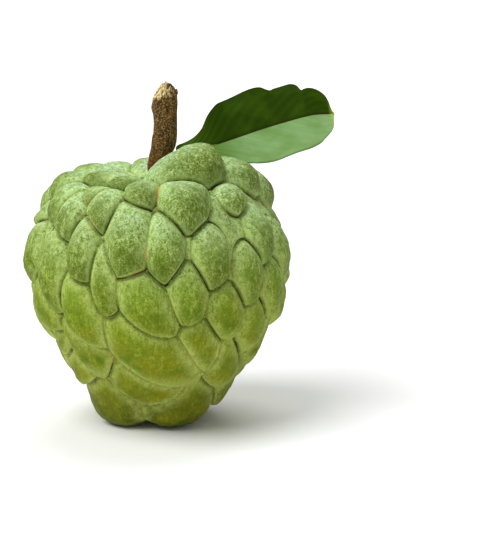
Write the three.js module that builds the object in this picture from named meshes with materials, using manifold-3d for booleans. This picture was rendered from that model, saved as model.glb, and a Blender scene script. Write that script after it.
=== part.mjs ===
// A whole custard apple standing on its blossom end, with its woody stem and one leaf.
// Millimetres, +Z up. The origin is on the ground under the middle of the fruit. The front is -Y.

import * as THREE from 'three';
import { mergeVertices } from 'three/addons/utils/BufferGeometryUtils.js';
import Module from 'manifold-3d';

// Body: a heart-shaped round, as [angle down from +Z in degrees, distance from the body's centre].
const BODY_CENTRE = new THREE.Vector3(0, 0, 58);
const BODY_RADII = [
  [0, 38], [15, 41], [28, 44.5], [36, 48], [44, 51.5], [54, 52.4], [70, 52], [90, 50.8],
  [108, 49.8], [122, 48.2], [134, 50.2], [147, 53], [156, 58], [164, 59.6], [180, 60.7],
];
// The right shoulder is higher: a swelling at this azimuth and polar angle, with its height and its spread.
const SHOULDER = { azimuth: 78, polar: 23, height: 6.5, spread: 17 };
const BODY_DETAIL = 21;

// Scales: low domes that meet in creases, as on any custard apple.
const CREASE_DEPTH = 3.6;
const DOME_POWER = 2.8; // higher is flatter on top and steeper at the crease
const TIP_RISE = 1.3; // a scale stands out more towards its lower tip
const CREASE_SHARPNESS = 2.5; // per millimetre: higher leaves less of a fillet in the creases
const DEEPEST_CREASE = 4.5;
// The creases are shallower in a belt round a polar angle: its spread, and the part of the depth it loses.
const SHALLOW_BELT = { polar: 126, spread: 18, loss: 0.45 };

// The front scales row by row from the stem down: azimuth (0 is the front, + is to the right), polar angle,
// half width, half length, lift above the body, and lean of the tip to the right. Degrees and millimetres.
const FRONT_SCALES = [
  ...[[43, 19, 11.5, 11.5, 6.6, -14], [-9, 37, 7, 12.5, 1.2, 0], [-34, 27, 6, 9, 0.5, 0]],
  ...[[-64, 27, 9, 11, 0.4, 0], [88, 34, 11, 13, 1.5, 0], [52, 46, 7, 9, -0.5, 0], [19, 41, 9.5, 16, 2, -8]],
  ...[[-41, 42, 7, 9, -1, 0], [104, 47, 9, 12, 2, 0], [-30, 48, 7.5, 12.5, 0, 0], [-64, 48, 9, 12, 0, 0]],
  ...[[-84, 40, 9, 12, 0.8, 0], [5, 65, 8, 15, 0, 0], [-13, 61, 9, 19, 0.5, 0], [-50, 54, 8, 12, 0, 0]],
  ...[[-85, 60, 8, 10, -1.2, 0], [-23, 82, 6.5, 17, -0.5, 6], [-36, 68, 7, 15, 0.2, 0]],
  ...[[-55, 80, 9, 18, 0, 5], [-80, 76, 8, 14, 0.5, 0], [-5, 93, 9.5, 17.5, 0.5, 34]],
  ...[[-37, 99, 9.5, 18, 0.4, 24], [-68, 100, 9, 14, -0.4, 8], [-5, 119, 10.5, 20, 1.4, 50]],
  ...[[-42, 119, 9, 14, 0, 30], [-70, 118, 8, 12, -1, 15], [-12, 138, 10, 18, 0.5, 58]],
  ...[[-62, 134, 11, 10, 0, 10], [-50, 152, 14, 14, 2.4, 0], [22, 152, 16, 14, 1.2, 0]],
];

// The other scales stand on a golden-angle spiral, left out where one already stands.
const SPIRAL_PLACES = 88;
const GOLDEN_ANGLE = 137.508;
const SPIRAL_START = 16; // degrees from the stem
const SPIRAL_HALF_WIDTH = 8.2;
const SPIRAL_HALF_LENGTH = 13.5;
const CLOSEST = 0.62; // least spacing, 1 is two scales that just touch
const LEAN_FROM = 85; // polar angle where the scales start to lean
const LEAN_PER_DEGREE = 0.9;
const MOST_LEAN = 28;

// Stem: path through the middle of the twig and its radius, from the socket up.
const STEM_PATH = [[0, 0, 93.5], [0.3, 0, 99], [2.1, 0, 106], [3, 0, 112], [3.2, 0, 121], [3.3, 0, 127]];
const STEM_RADII = [[0, 3.5], [0.17, 3.7], [0.36, 4.5], [0.55, 4.5], [0.8, 4.6], [1, 4.8]];
const STEM_SIDES = 16;
const STEM_RINGS = 12;
const TORN_PEAK = 3.6; // how far the middle of the torn end stands up
const TORN_FALL = 1.5; // how far its rim hangs back
const TORN_SLOPE = 1.2; // and how far that falls further towards the left
const TORN_TEETH = [1.4, -0.9, 0.8, -1.3, 1.1, -0.4, 1.5, -1.1]; // splinters round the torn end
const STEM_CLEARANCE = 0.3;

// Leaf: the stalk leaves the stem and runs on as the midrib.
const MIDRIB_PATH = [[5.2, 3.1, 101.5], [11, 10.5, 101.8], [17.5, 16.5, 102.9], [28.5, 22.5, 105.6],
  [38.5, 26, 108.5], [48, 28.5, 111.1], [60, 31.5, 113.8], [68.5, 33, 114.1]];
const BLADE_START = 0.05; // where the blade starts along the midrib
const MIDRIB_RADII = [[0, 1.2], [0.08, 1], [0.5, 0.8], [0.97, 0.5]];
const MIDRIB_END = 0.97;
const UPPER_HALF_WIDTHS = [[0, 0.7], [0.02, 3.2], [0.1, 4.6], [0.15, 5.3], [0.2, 6.1], [0.25, 7.8],
  [0.3, 11.1], [0.35, 13.7], [0.4, 15.6], [0.5, 16.3], [0.6, 16.4], [0.645, 16.2], [0.67, 14.4],
  [0.695, 13.4], [0.72, 13.9], [0.77, 14.2], [0.805, 13.6], [0.825, 11.6], [0.85, 11], [0.88, 10.2],
  [0.92, 8.4], [0.96, 6.6], [0.985, 4.4], [1, 0.7]];
const LOWER_HALF_WIDTHS = [[0, 0.7], [0.1, 4], [0.2, 7], [0.28, 11.2], [0.34, 15.4], [0.4, 18],
  [0.47, 19.2], [0.6, 19.8], [0.68, 19.9], [0.75, 19.3], [0.82, 17.8], [0.88, 16], [0.935, 13.3],
  [0.975, 8.6], [1, 0.7]];
const BLADE_THICKNESS = 0.8;
const BLADE_FACING = new THREE.Vector3(0, -0.73, 0.68); // the way the open leaf looks
const FOLD_ANGLE = 18; // degrees that each half rises from flat
const EDGE_WAVE = 0.7;
const WAVES = 3.5;
const BLADE_STEPS = 44;
const HALF_STEPS = 5;
const MIDRIB_SIDES = 8;
const MIDRIB_RINGS = 30;

const wasm = await Module();
wasm.setup();

// Smooth curve through [x, y] knots, level at both ends.
function through(knots, x) {
  const slope = (i) => (i === 0 || i === knots.length - 1
    ? 0
    : (knots[i + 1][1] - knots[i - 1][1]) / (knots[i + 1][0] - knots[i - 1][0]));
  const found = knots.findIndex((knot, i) => i > 0 && x <= knot[0]);
  const end = found < 0 ? knots.length - 1 : found;
  const [[x0, y0], [x1, y1]] = [knots[end - 1], knots[end]];
  const t = THREE.MathUtils.clamp((x - x0) / (x1 - x0), 0, 1);
  return (2 * t ** 3 - 3 * t ** 2 + 1) * y0 + (t ** 3 - 2 * t ** 2 + t) * (x1 - x0) * slope(end - 1)
    + (3 * t ** 2 - 2 * t ** 3) * y1 + (t ** 3 - t ** 2) * (x1 - x0) * slope(end);
}

function toSolid(geometry) {
  const shared = geometry.clone();
  shared.deleteAttribute('normal');
  shared.deleteAttribute('uv');
  const merged = mergeVertices(shared);
  return new wasm.Manifold(new wasm.Mesh({
    numProp: 3,
    vertProperties: new Float32Array(merged.attributes.position.array),
    triVerts: new Uint32Array(merged.index.array),
  }));
}

function toGeometry(solid) {
  const mesh = solid.getMesh();
  const geometry = new THREE.BufferGeometry();
  geometry.setAttribute('position', new THREE.BufferAttribute(new Float32Array(mesh.vertProperties), 3));
  geometry.setIndex(new THREE.BufferAttribute(new Uint32Array(mesh.triVerts), 1));
  return geometry;
}

// A cylinder of radius 1 and height 1 laid along a curve. radiusAt(t) gives its radius, and
// shift(t, angle, out) how far each point moves along the curve, with out 0 in the middle and 1 at the side.
function bentCylinder(curve, radiusAt, sides, rings, shift = () => 0) {
  const geometry = new THREE.CylinderGeometry(1, 1, 1, sides, rings);
  const place = geometry.attributes.position;
  const front = new THREE.Vector3(0, -1, 0);
  for (let i = 0; i < place.count; i += 1) {
    const [x, y, z] = [place.getX(i), place.getY(i), place.getZ(i)];
    const t = y + 0.5;
    const tangent = curve.getTangent(t);
    const across = tangent.clone().cross(front).normalize();
    const outward = across.clone().cross(tangent);
    const point = curve.getPoint(t)
      .addScaledVector(across, x * radiusAt(t))
      .addScaledVector(outward, z * radiusAt(t))
      .addScaledVector(tangent, shift(t, Math.atan2(z, x), Math.hypot(x, z)));
    place.setXYZ(i, point.x, point.y, point.z);
  }
  return geometry;
}

function directionAt(azimuth, polar) {
  const [a, p] = [azimuth, polar].map(THREE.MathUtils.degToRad);
  return new THREE.Vector3(Math.sin(a) * Math.sin(p), -Math.cos(a) * Math.sin(p), Math.cos(p));
}

function onBody(direction) {
  const polar = THREE.MathUtils.radToDeg(Math.acos(THREE.MathUtils.clamp(direction.z, -1, 1)));
  const away = THREE.MathUtils.radToDeg(direction.angleTo(directionAt(SHOULDER.azimuth, SHOULDER.polar)));
  const swelling = SHOULDER.height * Math.exp(-((away / SHOULDER.spread) ** 2));
  return direction.clone().multiplyScalar(through(BODY_RADII, polar) + swelling).add(BODY_CENTRE);
}

// One scale with its own axes on the body: along points to its lower tip, out away from the body.
function makeScale([azimuth, polar, halfWidth, halfLength, lift, lean]) {
  const centre = onBody(directionAt(azimuth, polar));
  const downhill = onBody(directionAt(azimuth, polar + 0.5)).sub(centre).normalize();
  const sideways = directionAt(azimuth + 90, 90);
  const turn = THREE.MathUtils.degToRad(lean);
  const along = downhill.clone().multiplyScalar(Math.cos(turn)).addScaledVector(sideways, Math.sin(turn));
  const across = sideways.clone().multiplyScalar(Math.cos(turn)).addScaledVector(downhill, -Math.sin(turn));
  const loss = SHALLOW_BELT.loss * Math.exp(-(((polar - SHALLOW_BELT.polar) / SHALLOW_BELT.spread) ** 2));
  const out = across.clone().cross(along);
  return { centre, along, across, out, halfWidth, halfLength, lift, depth: CREASE_DEPTH * (1 - loss) };
}

function isTaken(place, scales) {
  return scales.some((scale) => {
    const gap = place.clone().sub(scale.centre);
    const lengthwise = gap.dot(scale.along);
    const sidewaysSquared = Math.max(0, gap.lengthSq() - lengthwise ** 2);
    return sidewaysSquared / (SPIRAL_HALF_WIDTH + scale.halfWidth) ** 2
      + (lengthwise / (SPIRAL_HALF_LENGTH + scale.halfLength)) ** 2 < CLOSEST ** 2;
  });
}

function allScales() {
  const scales = FRONT_SCALES.map(makeScale);
  for (let k = 0; k < SPIRAL_PLACES; k += 1) {
    const polar = THREE.MathUtils.radToDeg(Math.acos(1 - (2 * k + 1) / SPIRAL_PLACES));
    const azimuth = (k * GOLDEN_ANGLE) % 360;
    const lean = THREE.MathUtils.clamp((polar - LEAN_FROM) * LEAN_PER_DEGREE, 0, MOST_LEAN);
    if (polar >= SPIRAL_START && !isTaken(onBody(directionAt(azimuth, polar)), scales)) {
      scales.push(makeScale([azimuth, polar, SPIRAL_HALF_WIDTH, SPIRAL_HALF_LENGTH, 0, lean]));
    }
  }
  return scales;
}

// How far the skin stands above the body at a point: the smooth maximum of all the domes there.
function relief(point, scales) {
  const heights = scales.map((scale) => {
    const gap = point.clone().sub(scale.centre);
    const u = gap.dot(scale.across) / scale.halfWidth;
    const v = gap.dot(scale.along) / scale.halfLength;
    const w = gap.dot(scale.out) / scale.halfWidth;
    const distance = Math.sqrt(u * u + v * v + w * w / 2);
    return scale.lift + TIP_RISE * THREE.MathUtils.clamp(v, -1.3, 1.3)
      - scale.depth * distance ** DOME_POWER;
  });
  heights.push(-DEEPEST_CREASE);
  const highest = Math.max(...heights);
  const sum = heights.reduce((total, height) => total + Math.exp(CREASE_SHARPNESS * (height - highest)), 0);
  return highest + Math.log(sum) / CREASE_SHARPNESS;
}

function stemCurve() {
  return new THREE.CatmullRomCurve3(STEM_PATH.map((point) => new THREE.Vector3(...point)));
}

function bentStem(extraRadius, shift) {
  const radiusAt = (t) => through(STEM_RADII, t) + extraRadius;
  return bentCylinder(stemCurve(), radiusAt, STEM_SIDES, STEM_RINGS, shift);
}

// The torn end stands up in the middle, falls away to the left and ends in splinters.
function tornEnd(t, angle, out) {
  if (t < 1 - 0.5 / STEM_RINGS) return 0;
  const tooth = TORN_TEETH[Math.round((angle / Math.PI + 1) * TORN_TEETH.length) % TORN_TEETH.length];
  return out < 0.5 ? TORN_PEAK : Math.cos(angle) * TORN_SLOPE - TORN_FALL + tooth;
}

function makeStem() {
  return toGeometry(toSolid(bentStem(0, tornEnd)));
}

function makeFruit() {
  const scales = allScales();
  const geometry = new THREE.IcosahedronGeometry(1, BODY_DETAIL);
  const place = geometry.attributes.position;
  for (let i = 0; i < place.count; i += 1) {
    const direction = new THREE.Vector3().fromBufferAttribute(place, i).normalize();
    const base = onBody(direction);
    const point = base.clone().addScaledVector(direction, relief(base, scales));
    place.setXYZ(i, point.x, point.y, point.z);
  }
  const ground = new THREE.BoxGeometry(120, 120, 20).translate(0, 0, -10);
  const socket = bentStem(STEM_CLEARANCE, (t) => (t === 0 ? -STEM_CLEARANCE : 0));
  return toGeometry(toSolid(geometry).subtract(toSolid(ground)).subtract(toSolid(socket)));
}

function midribCurve() {
  return new THREE.CatmullRomCurve3(MIDRIB_PATH.map((point) => new THREE.Vector3(...point)));
}

// A point of the blade: t runs from its base to its tip, s from the lower edge (-1) to the upper edge (1).
function bladePoint(curve, t, s, depth) {
  const along = BLADE_START + (1 - BLADE_START) * t;
  const tangent = curve.getTangent(along);
  const across = BLADE_FACING.clone().cross(tangent).normalize();
  const facing = tangent.clone().cross(across);
  const reach = s * through(s > 0 ? UPPER_HALF_WIDTHS : LOWER_HALF_WIDTHS, t);
  const fold = THREE.MathUtils.degToRad(FOLD_ANGLE);
  const wave = EDGE_WAVE * s * s * Math.sin(WAVES * 2 * Math.PI * t + Math.sign(s));
  return curve.getPoint(along)
    .addScaledVector(across, reach * Math.cos(fold))
    .addScaledVector(facing, Math.abs(reach) * Math.sin(fold) + wave - depth);
}

// Upper face, lower face and rim on one grid, so both faces are split into triangles alike.
function makeBlade(curve) {
  const across = 2 * HALF_STEPS;
  const faces = [0, BLADE_THICKNESS].map((depth) => {
    const geometry = new THREE.PlaneGeometry(1, 1, BLADE_STEPS, across);
    const place = geometry.attributes.position;
    for (let i = 0; i < place.count; i += 1) {
      const point = bladePoint(curve, place.getX(i) + 0.5, 2 * place.getY(i), depth);
      place.setXYZ(i, point.x, point.y, point.z);
    }
    return geometry;
  });
  const count = faces[0].attributes.position.count;
  const [top, under] = faces.map((face) => Array.from(face.attributes.position.array));
  const index = Array.from(faces[0].index.array);
  const flipped = [];
  for (let i = 0; i < index.length; i += 3) {
    flipped.push(index[i] + count, index[i + 2] + count, index[i + 1] + count);
  }
  const row = BLADE_STEPS + 1;
  const rim = [];
  for (let i = 0; i < BLADE_STEPS; i += 1) rim.push([i + 1, i], [across * row + i, across * row + i + 1]);
  for (let j = 0; j < across; j += 1) {
    rim.push([j * row, (j + 1) * row], [(j + 2) * row - 1, (j + 1) * row - 1]);
  }
  const wall = rim.flatMap(([a, b]) => [b, a, a + count, b, a + count, b + count]);
  const geometry = new THREE.BufferGeometry();
  geometry.setAttribute('position', new THREE.Float32BufferAttribute([...top, ...under], 3));
  geometry.setIndex([...index, ...flipped, ...wall]);
  return geometry;
}

function makeLeaf() {
  const curve = midribCurve();
  const rib = bentCylinder(curve, (t) => through(MIDRIB_RADII, t * MIDRIB_END), MIDRIB_SIDES, MIDRIB_RINGS);
  return toGeometry(toSolid(makeBlade(curve)).add(toSolid(rib)));
}

function namedMesh(name, geometry, colour, roughness) {
  const material = new THREE.MeshStandardMaterial({ color: colour, roughness, metalness: 0 });
  const mesh = new THREE.Mesh(geometry, material);
  mesh.name = name;
  return mesh;
}

const custardApple = new THREE.Group();
custardApple.add(namedMesh('fruit', makeFruit(), 0x96b969, 0.55));
custardApple.add(namedMesh('stem', makeStem(), 0x5f4128, 0.85));
custardApple.add(namedMesh('leaf', makeLeaf(), 0x3f6a1e, 0.4));

export default custardApple;
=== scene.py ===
"""A whole custard apple with its woody stem and one leaf, on a plain pale floor in soft studio light.

Sizes are in millimetres on the part's own axes: +Z up, the front towards -Y, the ground at zero. Meshes are
made in metres.
"""
from __future__ import annotations

import logging
import math
from dataclasses import dataclass, field
from enum import Enum

import bmesh
import bpy
import numpy as np
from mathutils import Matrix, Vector, noise


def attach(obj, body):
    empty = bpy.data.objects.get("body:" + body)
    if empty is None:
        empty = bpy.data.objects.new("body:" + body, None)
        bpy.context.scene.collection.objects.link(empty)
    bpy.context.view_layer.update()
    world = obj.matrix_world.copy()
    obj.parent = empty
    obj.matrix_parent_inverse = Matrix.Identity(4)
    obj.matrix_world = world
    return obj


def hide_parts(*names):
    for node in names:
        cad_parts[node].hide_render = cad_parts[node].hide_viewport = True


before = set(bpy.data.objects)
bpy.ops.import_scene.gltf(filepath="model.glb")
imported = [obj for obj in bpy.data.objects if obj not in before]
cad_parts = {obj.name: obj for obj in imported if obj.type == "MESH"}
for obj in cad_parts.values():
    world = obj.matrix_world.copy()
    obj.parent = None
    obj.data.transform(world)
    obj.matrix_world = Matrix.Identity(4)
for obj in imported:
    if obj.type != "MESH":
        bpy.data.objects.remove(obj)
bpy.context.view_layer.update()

MM = 0.001
GOLDEN_ANGLE = 137.508
FADE, FINER = 1.0, 2.0  # how much weaker and finer each further layer of noise is
SEED = 7
LOG = logging.getLogger("custard_apple")
Colour = tuple[float, float, float]
Knots = tuple[tuple[float, float], ...]
Path3 = tuple[tuple[float, float, float], ...]


def srgb(red: int, green: int, blue: int) -> Colour:
    """Turn a colour as it is seen on a screen into the linear one that a shader takes.

    Args:
        red, green, blue: The screen colour, 0 to 255.

    Returns:
        The linear colour.
    """
    return tuple((c / 12.92) if c <= 0.04045 else ((c + 0.055) / 1.055) ** 2.4
                 for c in (red / 255, green / 255, blue / 255))


def through(knots: Knots, x: np.ndarray | float) -> np.ndarray:
    """Read a smooth curve through (x, y) knots, level at both ends.

    Args:
        knots: The points the curve passes through, in order of x.
        x: Where to read it.

    Returns:
        The curve's height at each x.
    """
    xs, ys = np.array(knots, float).T
    slopes = np.zeros(len(xs))
    slopes[1:-1] = (ys[2:] - ys[:-2]) / (xs[2:] - xs[:-2])
    i = np.clip(np.searchsorted(xs, x, side="right") - 1, 0, len(xs) - 2)
    span = xs[i + 1] - xs[i]
    t = np.clip((x - xs[i]) / span, 0, 1)
    return ((2 * t**3 - 3 * t**2 + 1) * ys[i] + (t**3 - 2 * t**2 + t) * span * slopes[i]
            + (3 * t**2 - 2 * t**3) * ys[i + 1] + (t**3 - t**2) * span * slopes[i + 1])


def unit(vectors: np.ndarray) -> np.ndarray:
    """Bring each row vector to length 1."""
    return vectors / np.linalg.norm(vectors, axis=-1, keepdims=True)


def direction_at(azimuth: np.ndarray | float, polar: np.ndarray | float) -> np.ndarray:
    """Give the direction at an azimuth (0 is the front, + is to the right) and an angle down from the stem.

    Args:
        azimuth: Degrees round the fruit.
        polar: Degrees down from straight up.

    Returns:
        Unit vectors.
    """
    a, p = np.radians(azimuth), np.radians(polar)
    return np.stack([np.sin(a) * np.sin(p), -np.cos(a) * np.sin(p), np.cos(p) + 0 * a], -1)


def grain(points: np.ndarray, wavelength: float, octaves: int = 2, shift: float = 0.0) -> np.ndarray:
    """Read smooth noise at each point.

    Args:
        points: Places in millimetres.
        wavelength: Size of the noise's lumps in millimetres.
        octaves: How many finer layers it has.
        shift: Moves the pattern, so that two uses differ.

    Returns:
        Noise of about -1 to 1 at each point.
    """
    offset = Vector((shift, shift, shift))
    return np.array([noise.fractal(Vector(p) / wavelength + offset, FADE, FINER, octaves) for p in points])


def new_object(name: str, mesh_maker: bmesh.types.BMesh) -> bpy.types.Object:
    """Turn a bmesh into a smooth object at the origin of the scene.

    Args:
        name: The object's name.
        mesh_maker: The bmesh, freed here.

    Returns:
        The new object.
    """
    mesh = bpy.data.meshes.new(name)
    mesh_maker.to_mesh(mesh)
    mesh_maker.free()
    mesh.shade_smooth()
    piece = bpy.data.objects.new(name, mesh)
    bpy.context.scene.collection.objects.link(piece)
    return piece


def store(mesh: bpy.types.Mesh, name: str, values: np.ndarray) -> None:
    """Keep one number for each vertex under a name that a material can read."""
    mesh.attributes.new(name, "FLOAT", "POINT").data.foreach_set("value", values.astype(np.float32))


class Sum(Enum):
    """The sums that the finishes do on numbers."""

    TIMES = "MULTIPLY"
    LARGER = "MAXIMUM"
    SIZE = "ABSOLUTE"


class Shading:
    """One material's node tree, with short calls for the nodes that the finishes share."""

    FIRST_COLOUR, SECOND_COLOUR, MIXED_COLOUR = 6, 7, 2  # a Mix node's sockets for colours

    def __init__(self, name: str) -> None:
        """Start a material that holds a plain shader.

        Args:
            name: Its name.
        """
        self.material = bpy.data.materials.new(name)
        self.material.use_nodes = True
        self.nodes = self.material.node_tree.nodes
        self.links = self.material.node_tree.links
        self.shader = self.nodes["Principled BSDF"]
        self.place = self.nodes.new("ShaderNodeTexCoord").outputs["Object"]

    def feed(self, socket: bpy.types.NodeSocket, value: object) -> None:
        """Put a value into a socket.

        Args:
            socket: The socket.
            value: A number, a colour or another node's output.
        """
        if isinstance(value, bpy.types.NodeSocket):
            self.links.new(value, socket)
        elif isinstance(value, tuple) and len(value) == 3 and socket.type == "RGBA":
            socket.default_value = (*value, 1.0)
        else:
            socket.default_value = value

    def stretched(self, stretch: tuple[float, float, float]) -> bpy.types.NodeSocket:
        """Give the object's coordinates, scaled along each axis.

        Args:
            stretch: How much they are scaled along X, Y and Z.

        Returns:
            The coordinates.
        """
        mapping = self.nodes.new("ShaderNodeMapping")
        mapping.inputs["Scale"].default_value = stretch
        self.links.new(self.place, mapping.inputs["Vector"])
        return mapping.outputs["Vector"]

    def noise(self, size: float, detail: float = 3.0, roughness: float = 0.55, distortion: float = 0.0,
              where: bpy.types.NodeSocket | None = None) -> bpy.types.NodeSocket:
        """Give noise of 0 to 1.

        Args:
            size: Size of its lumps in millimetres.
            detail: How many finer layers it has.
            roughness: How strong those are.
            distortion: How much it is twisted.
            where: Coordinates other than the object's own.

        Returns:
            The noise.
        """
        texture = self.nodes.new("ShaderNodeTexNoise")
        texture.inputs["Scale"].default_value = 1.0 / (size * MM)
        texture.inputs["Detail"].default_value = detail
        texture.inputs["Roughness"].default_value = roughness
        texture.inputs["Distortion"].default_value = distortion
        self.links.new(where or self.place, texture.inputs["Vector"])
        return texture.outputs["Fac"]

    def cells(self, size: float) -> bpy.types.NodeSocket:
        """Give the distance to the nearest of scattered points.

        Args:
            size: How far apart those are, in millimetres.

        Returns:
            The distance, as a share of that.
        """
        texture = self.nodes.new("ShaderNodeTexVoronoi")
        texture.inputs["Scale"].default_value = 1.0 / (size * MM)
        self.links.new(self.place, texture.inputs["Vector"])
        return texture.outputs["Distance"]

    def attribute(self, name: str) -> bpy.types.NodeSocket:
        """Read a number kept for each vertex."""
        reader = self.nodes.new("ShaderNodeAttribute")
        reader.attribute_name = name
        return reader.outputs["Fac"]

    def height(self) -> bpy.types.NodeSocket:
        """Give the height above the ground in metres."""
        split = self.nodes.new("ShaderNodeSeparateXYZ")
        self.links.new(self.place, split.inputs[0])
        return split.outputs["Z"]

    def band(self, value: object, low: float, high: float, start: float = 0.0,
             end: float = 1.0) -> bpy.types.NodeSocket:
        """Ease a number from start to end as it goes from low to high.

        Args:
            value: The number to read.
            low, high: Where it starts and where it ends.
            start, end: What comes out there.

        Returns:
            The eased number.
        """
        ease = self.nodes.new("ShaderNodeMapRange")
        ease.interpolation_type = "SMOOTHSTEP"
        self.feed(ease.inputs["Value"], value)
        for socket, number in (("From Min", low), ("From Max", high), ("To Min", start), ("To Max", end)):
            ease.inputs[socket].default_value = number
        return ease.outputs["Result"]

    def sum(self, kind: Sum, first: object, second: object = 0.0) -> bpy.types.NodeSocket:
        """Do one sum on a number or two.

        Args:
            kind: Which sum.
            first, second: The numbers.

        Returns:
            The result.
        """
        maths = self.nodes.new("ShaderNodeMath")
        maths.operation = kind.value
        self.feed(maths.inputs[0], first)
        self.feed(maths.inputs[1], second)
        return maths.outputs[0]

    def times(self, first: object, *others: object) -> bpy.types.NodeSocket:
        """Multiply numbers with each other."""
        for other in others:
            first = self.sum(Sum.TIMES, first, other)
        return first

    def mix(self, factor: object, first: object, second: object) -> bpy.types.NodeSocket:
        """Put two colours together.

        Args:
            factor: How much of the second, 0 to 1.
            first, second: The colours.

        Returns:
            The mixed colour.
        """
        mixer = self.nodes.new("ShaderNodeMix")
        mixer.data_type = "RGBA"
        self.feed(mixer.inputs[0], factor)
        self.feed(mixer.inputs[self.FIRST_COLOUR], first)
        self.feed(mixer.inputs[self.SECOND_COLOUR], second)
        return mixer.outputs[self.MIXED_COLOUR]

    def ramp(self, value: object, stops: tuple[tuple[float, Colour], ...]) -> bpy.types.NodeSocket:
        """Turn a number into a colour along a ramp.

        Args:
            value: The number, 0 to 1.
            stops: Where each colour stands on the ramp, and the colour.

        Returns:
            The colour.
        """
        ramp = self.nodes.new("ShaderNodeValToRGB")
        self.feed(ramp.inputs[0], value)
        points = ramp.color_ramp.elements
        while len(points) < len(stops):
            points.new(1.0)
        for point, (position, colour) in zip(points, stops):
            point.position = position
            point.color = (*colour, 1.0)
        return ramp.outputs[0]

    def bump(self, height: bpy.types.NodeSocket, distance: float, strength: float = 1.0,
             under: bpy.types.NodeSocket | None = None) -> bpy.types.NodeSocket:
        """Raise the surface's shading by a height.

        Args:
            height: The height, 0 to 1.
            distance: What 1 stands for in millimetres.
            strength: How much of it shows.
            under: A bump that this one lies on.

        Returns:
            The bent normal.
        """
        bump = self.nodes.new("ShaderNodeBump")
        bump.inputs["Strength"].default_value = strength
        bump.inputs["Distance"].default_value = distance * MM
        self.links.new(height, bump.inputs["Height"])
        if under is not None:
            self.links.new(under, bump.inputs["Normal"])
        return bump.outputs["Normal"]

    def finish(self, colour: object, roughness: object, normal: bpy.types.NodeSocket | None = None,
               specular: float = 0.5) -> bpy.types.Material:
        """Feed the shader.

        Args:
            colour: The surface's colour.
            roughness: How matt it is, 0 to 1.
            normal: The bent normal, if there is one.
            specular: How strongly it shines.

        Returns:
            The material.
        """
        self.feed(self.shader.inputs["Base Color"], colour)
        self.feed(self.shader.inputs["Roughness"], roughness)
        self.shader.inputs["Specular IOR Level"].default_value = specular
        if normal is not None:
            self.links.new(normal, self.shader.inputs["Normal"])
        return self.material


@dataclass(frozen=True)
class SkinMap:
    """The numbers that the skin's colours are laid by.

    height is in metres above the ground, edge the millimetres to the nearest crease, along how far down its
    scale a point is, and lip how far its scale overlaps the next one there. high goes from 0 to 1 up the
    fruit and low is 1 at the foot. The others are noise, from coarse to fine.
    """

    height: bpy.types.NodeSocket
    edge: bpy.types.NodeSocket
    along: bpy.types.NodeSocket
    lip: bpy.types.NodeSocket
    high: bpy.types.NodeSocket
    low: bpy.types.NodeSocket
    patches: bpy.types.NodeSocket
    streaks: bpy.types.NodeSocket
    fibres: bpy.types.NodeSocket
    specks: bpy.types.NodeSocket


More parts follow.
